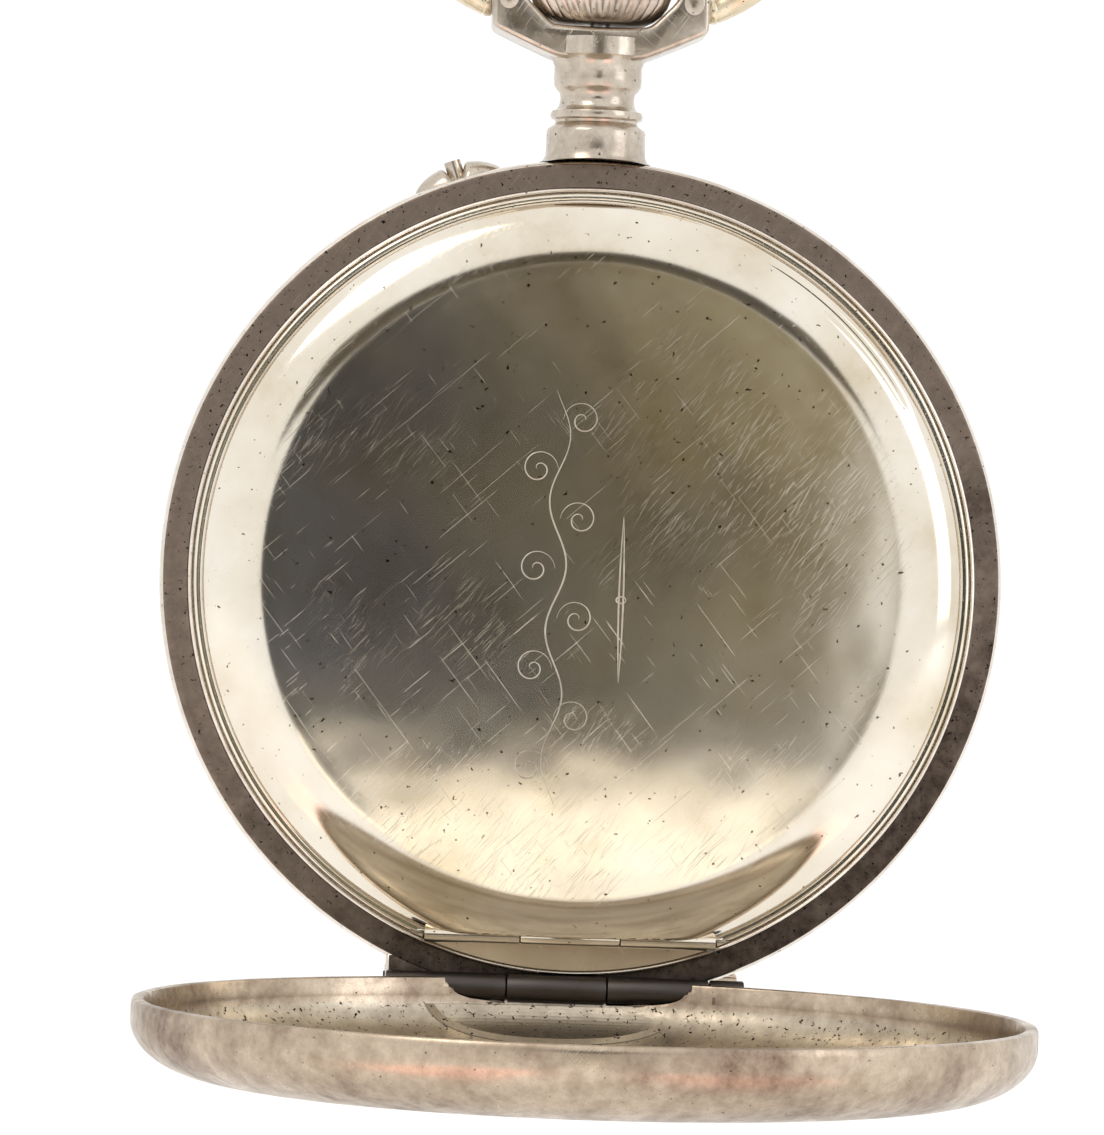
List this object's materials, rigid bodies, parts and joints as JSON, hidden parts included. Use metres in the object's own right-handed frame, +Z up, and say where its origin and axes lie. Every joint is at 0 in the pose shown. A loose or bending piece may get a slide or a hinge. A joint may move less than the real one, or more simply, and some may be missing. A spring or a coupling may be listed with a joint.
{
  "type": "fob watch",
  "caption": "Crown-wound pocket watch in a silver case, with hinged back cover, inner dust cover, bezel, swinging bow, and a geared movement under its dial.",
  "frame": {"origin": "centre of the crystal's front face", "axes": "+Y out of the dial and crystal, +Z up to the crown and bow, so -Y is out of the case back and +X is right as the back is seen"},
  "size_m": [0.05, 0.0587, 0.0821],
  "materials": {
    "case_silver": "worn polished silver with brown tarnish in the recesses",
    "tarnished_silver": "dull, dark, pitted silver",
    "polished_silver": "mirror polished silver with fine scratches",
    "crystal": "clear flat glass with a bevelled edge",
    "dial_enamel": "glossy white enamel with black numerals",
    "blued_steel": "polished and heat blued",
    "steel": "fine brushed",
    "gilt_brass": "frosted and gilt",
    "ruby": "polished synthetic ruby"
  },
  "bodies": {
    "case": {"case_middle": "tarnished_silver", "cuvette_sill": "case_silver", "pendant": "case_silver", "bow_screws": "case_silver", "push_guard": "case_silver", "back_hinge_pin": "steel", "cuvette_hinge_pin": "steel", "bezel_hinge_pin": "steel", "dial": "dial_enamel", "mainplate": "gilt_brass", "barrel_bridge": "gilt_brass", "train_bridge": "gilt_brass", "balance_cock": "gilt_brass", "pallet_bridge": "gilt_brass", "yoke_spring": "steel", "jewels": "ruby", "bridge_screws": "blued_steel", "case_screws": "steel", "crown_wheel_screw": "blued_steel", "click_spring": "steel"},
    "bow": {"bow": "case_silver"},
    "winder": {"crown": "case_silver", "winding_stem": "steel", "winding_pinion": "steel"},
    "clutch": {"sliding_pinion": "steel"},
    "push_pin": {"push_pin": "tarnished_silver"},
    "setting_yoke": {"setting_yoke": "steel"},
    "back_cover": {"back_cover": "case_silver", "cover_lug_plate": "tarnished_silver"},
    "dust_cover": {"cuvette": "polished_silver"},
    "bezel": {"front_bezel": "case_silver", "crystal": "crystal"},
    "barrel": {"barrel_drum": "gilt_brass", "barrel_cover": "gilt_brass", "mainspring": "steel"},
    "ratchet": {"barrel_arbor": "steel", "ratchet_wheel": "steel", "ratchet_screw": "blued_steel"},
    "crown_wheel": {"crown_wheel": "steel"},
    "click": {"click": "steel"},
    "centre": {"centre_wheel": "gilt_brass", "cannon_pinion": "steel", "minute_hand": "blued_steel"},
    "third": {"third_wheel": "gilt_brass"},
    "fourth": {"fourth_wheel": "gilt_brass", "seconds_hand": "blued_steel"},
    "escape": {"escape_wheel": "steel"},
    "minute_wheel": {"minute_wheel": "gilt_brass"},
    "hour": {"hour_wheel": "gilt_brass", "hour_hand": "blued_steel"},
    "pallet": {"pallet_fork": "steel", "pallet_stones": "ruby"},
    "balance": {"balance_wheel": "gilt_brass", "balance_staff": "steel", "hairspring": "blued_steel"},
    "regulator": {"regulator": "steel"}
  },
  "joints": [
    {"name": "back_cover_hinge", "type": "hinge", "parent": "case", "child": "back_cover", "pos_m": [0, -0.0096, -0.0241], "axis": [1, 0, 0], "range_deg": [-90, 0]},
    {"name": "dust_cover_hinge", "type": "hinge", "parent": "case", "child": "dust_cover", "pos_m": [0, -0.00995, -0.0211], "axis": [1, 0, 0], "range_deg": [0, 85]},
    {"name": "bezel_hinge", "type": "hinge", "parent": "case", "child": "bezel", "pos_m": [0, -0.003, -0.0241], "axis": [1, 0, 0], "range_deg": [-90, 0]},
    {"name": "bow_swing", "type": "hinge", "parent": "case", "child": "bow", "pos_m": [0, -0.0069, 0.0342], "axis": [1, 0, 0], "range_deg": [-110, 110]},
    {"name": "winding", "type": "hinge", "parent": "case", "child": "winder", "pos_m": [0, -0.0069, 0.035], "axis": [0, 0, 1], "continuous": true},
    {"name": "crown_wheel_turn", "type": "hinge", "parent": "case", "child": "crown_wheel", "pos_m": [0, -0.007, 0.01384], "axis": [0, -1, 0], "continuous": true},
    {"name": "ratchet_turn", "type": "hinge", "parent": "case", "child": "ratchet", "pos_m": [-0.00758, -0.007, 0.00636], "axis": [0, -1, 0], "continuous": true},
    {"name": "push_pin_press", "type": "slide", "parent": "case", "child": "push_pin", "axis": [0.3256, 0, -0.9455], "range_m": [0, 0.0006], "stiffness_N_per_m": 200},
    {"name": "setting_yoke_swing", "type": "hinge", "parent": "case", "child": "setting_yoke", "pos_m": [-0.0124, -0.007, 0.0146], "axis": [0, -1, 0], "range_deg": [-5.5, 0]},
    {"name": "clutch_slide", "type": "slide", "parent": "case", "child": "clutch", "axis": [0, 0, -1], "range_m": [0, 0.0011]},
    {"name": "click_lift", "type": "hinge", "parent": "case", "child": "click", "pos_m": [-0.01525, -0.007, 0.00703], "axis": [0, -1, 0], "range_deg": [0, 8], "stiffness_Nm_per_rad": 0.0005},
    {"name": "seconds_turn", "type": "hinge", "parent": "case", "child": "fourth", "pos_m": [0, -0.007, -0.0098], "axis": [0, -1, 0], "continuous": true},
    {"name": "third_turn", "type": "hinge", "parent": "case", "child": "third", "pos_m": [0.00395, -0.007, -0.00558], "axis": [0, -1, 0], "continuous": true},
    {"name": "minutes_turn", "type": "hinge", "parent": "case", "child": "centre", "pos_m": [0, -0.007, 0], "axis": [0, -1, 0], "continuous": true},
    {"name": "barrel_turn", "type": "hinge", "parent": "case", "child": "barrel", "pos_m": [-0.00758, -0.007, 0.00636], "axis": [0, -1, 0], "continuous": true},
    {"name": "escape_turn", "type": "hinge", "parent": "case", "child": "escape", "pos_m": [-0.00518, -0.007, -0.01222], "axis": [0, -1, 0], "continuous": true},
    {"name": "minute_wheel_turn", "type": "hinge", "parent": "case", "child": "minute_wheel", "pos_m": [0.00312, -0.007, 0.0018], "axis": [0, -1, 0], "continuous": true},
    {"name": "hours_turn", "type": "hinge", "parent": "case", "child": "hour", "pos_m": [0, -0.007, 0], "axis": [0, -1, 0], "continuous": true},
    {"name": "pallet_swing", "type": "hinge", "parent": "case", "child": "pallet", "pos_m": [-0.0078, -0.007, -0.01055], "axis": [0, -1, 0], "range_deg": [-5, 5]},
    {"name": "balance_swing", "type": "hinge", "parent": "case", "child": "balance", "pos_m": [-0.011, -0.007, -0.0085], "axis": [0, -1, 0], "range_deg": [-270, 270], "stiffness_Nm_per_rad": 0.0000001},
    {"name": "regulator_turn", "type": "hinge", "parent": "case", "child": "regulator", "pos_m": [-0.011, -0.007, -0.0085], "axis": [0, -1, 0], "range_deg": [-20, 20]}
  ],
  "couplings": [
    {"joint": "crown_wheel_turn", "follows": "winding", "ratio": -0.45161},
    {"joint": "ratchet_turn", "follows": "winding", "ratio": 0.35},
    {"joint": "setting_yoke_swing", "follows": "push_pin_press", "rad_per_m": -145},
    {"joint": "clutch_slide", "follows": "push_pin_press", "ratio": 1.73},
    {"joint": "third_turn", "follows": "seconds_turn", "ratio": -0.13333},
    {"joint": "minutes_turn", "follows": "seconds_turn", "ratio": 0.016667},
    {"joint": "barrel_turn", "follows": "seconds_turn", "ratio": -0.0020833},
    {"joint": "escape_turn", "follows": "seconds_turn", "ratio": -10},
    {"joint": "minute_wheel_turn", "follows": "seconds_turn", "ratio": -0.0055556},
    {"joint": "hours_turn", "follows": "seconds_turn", "ratio": 0.0013889}
  ]
}
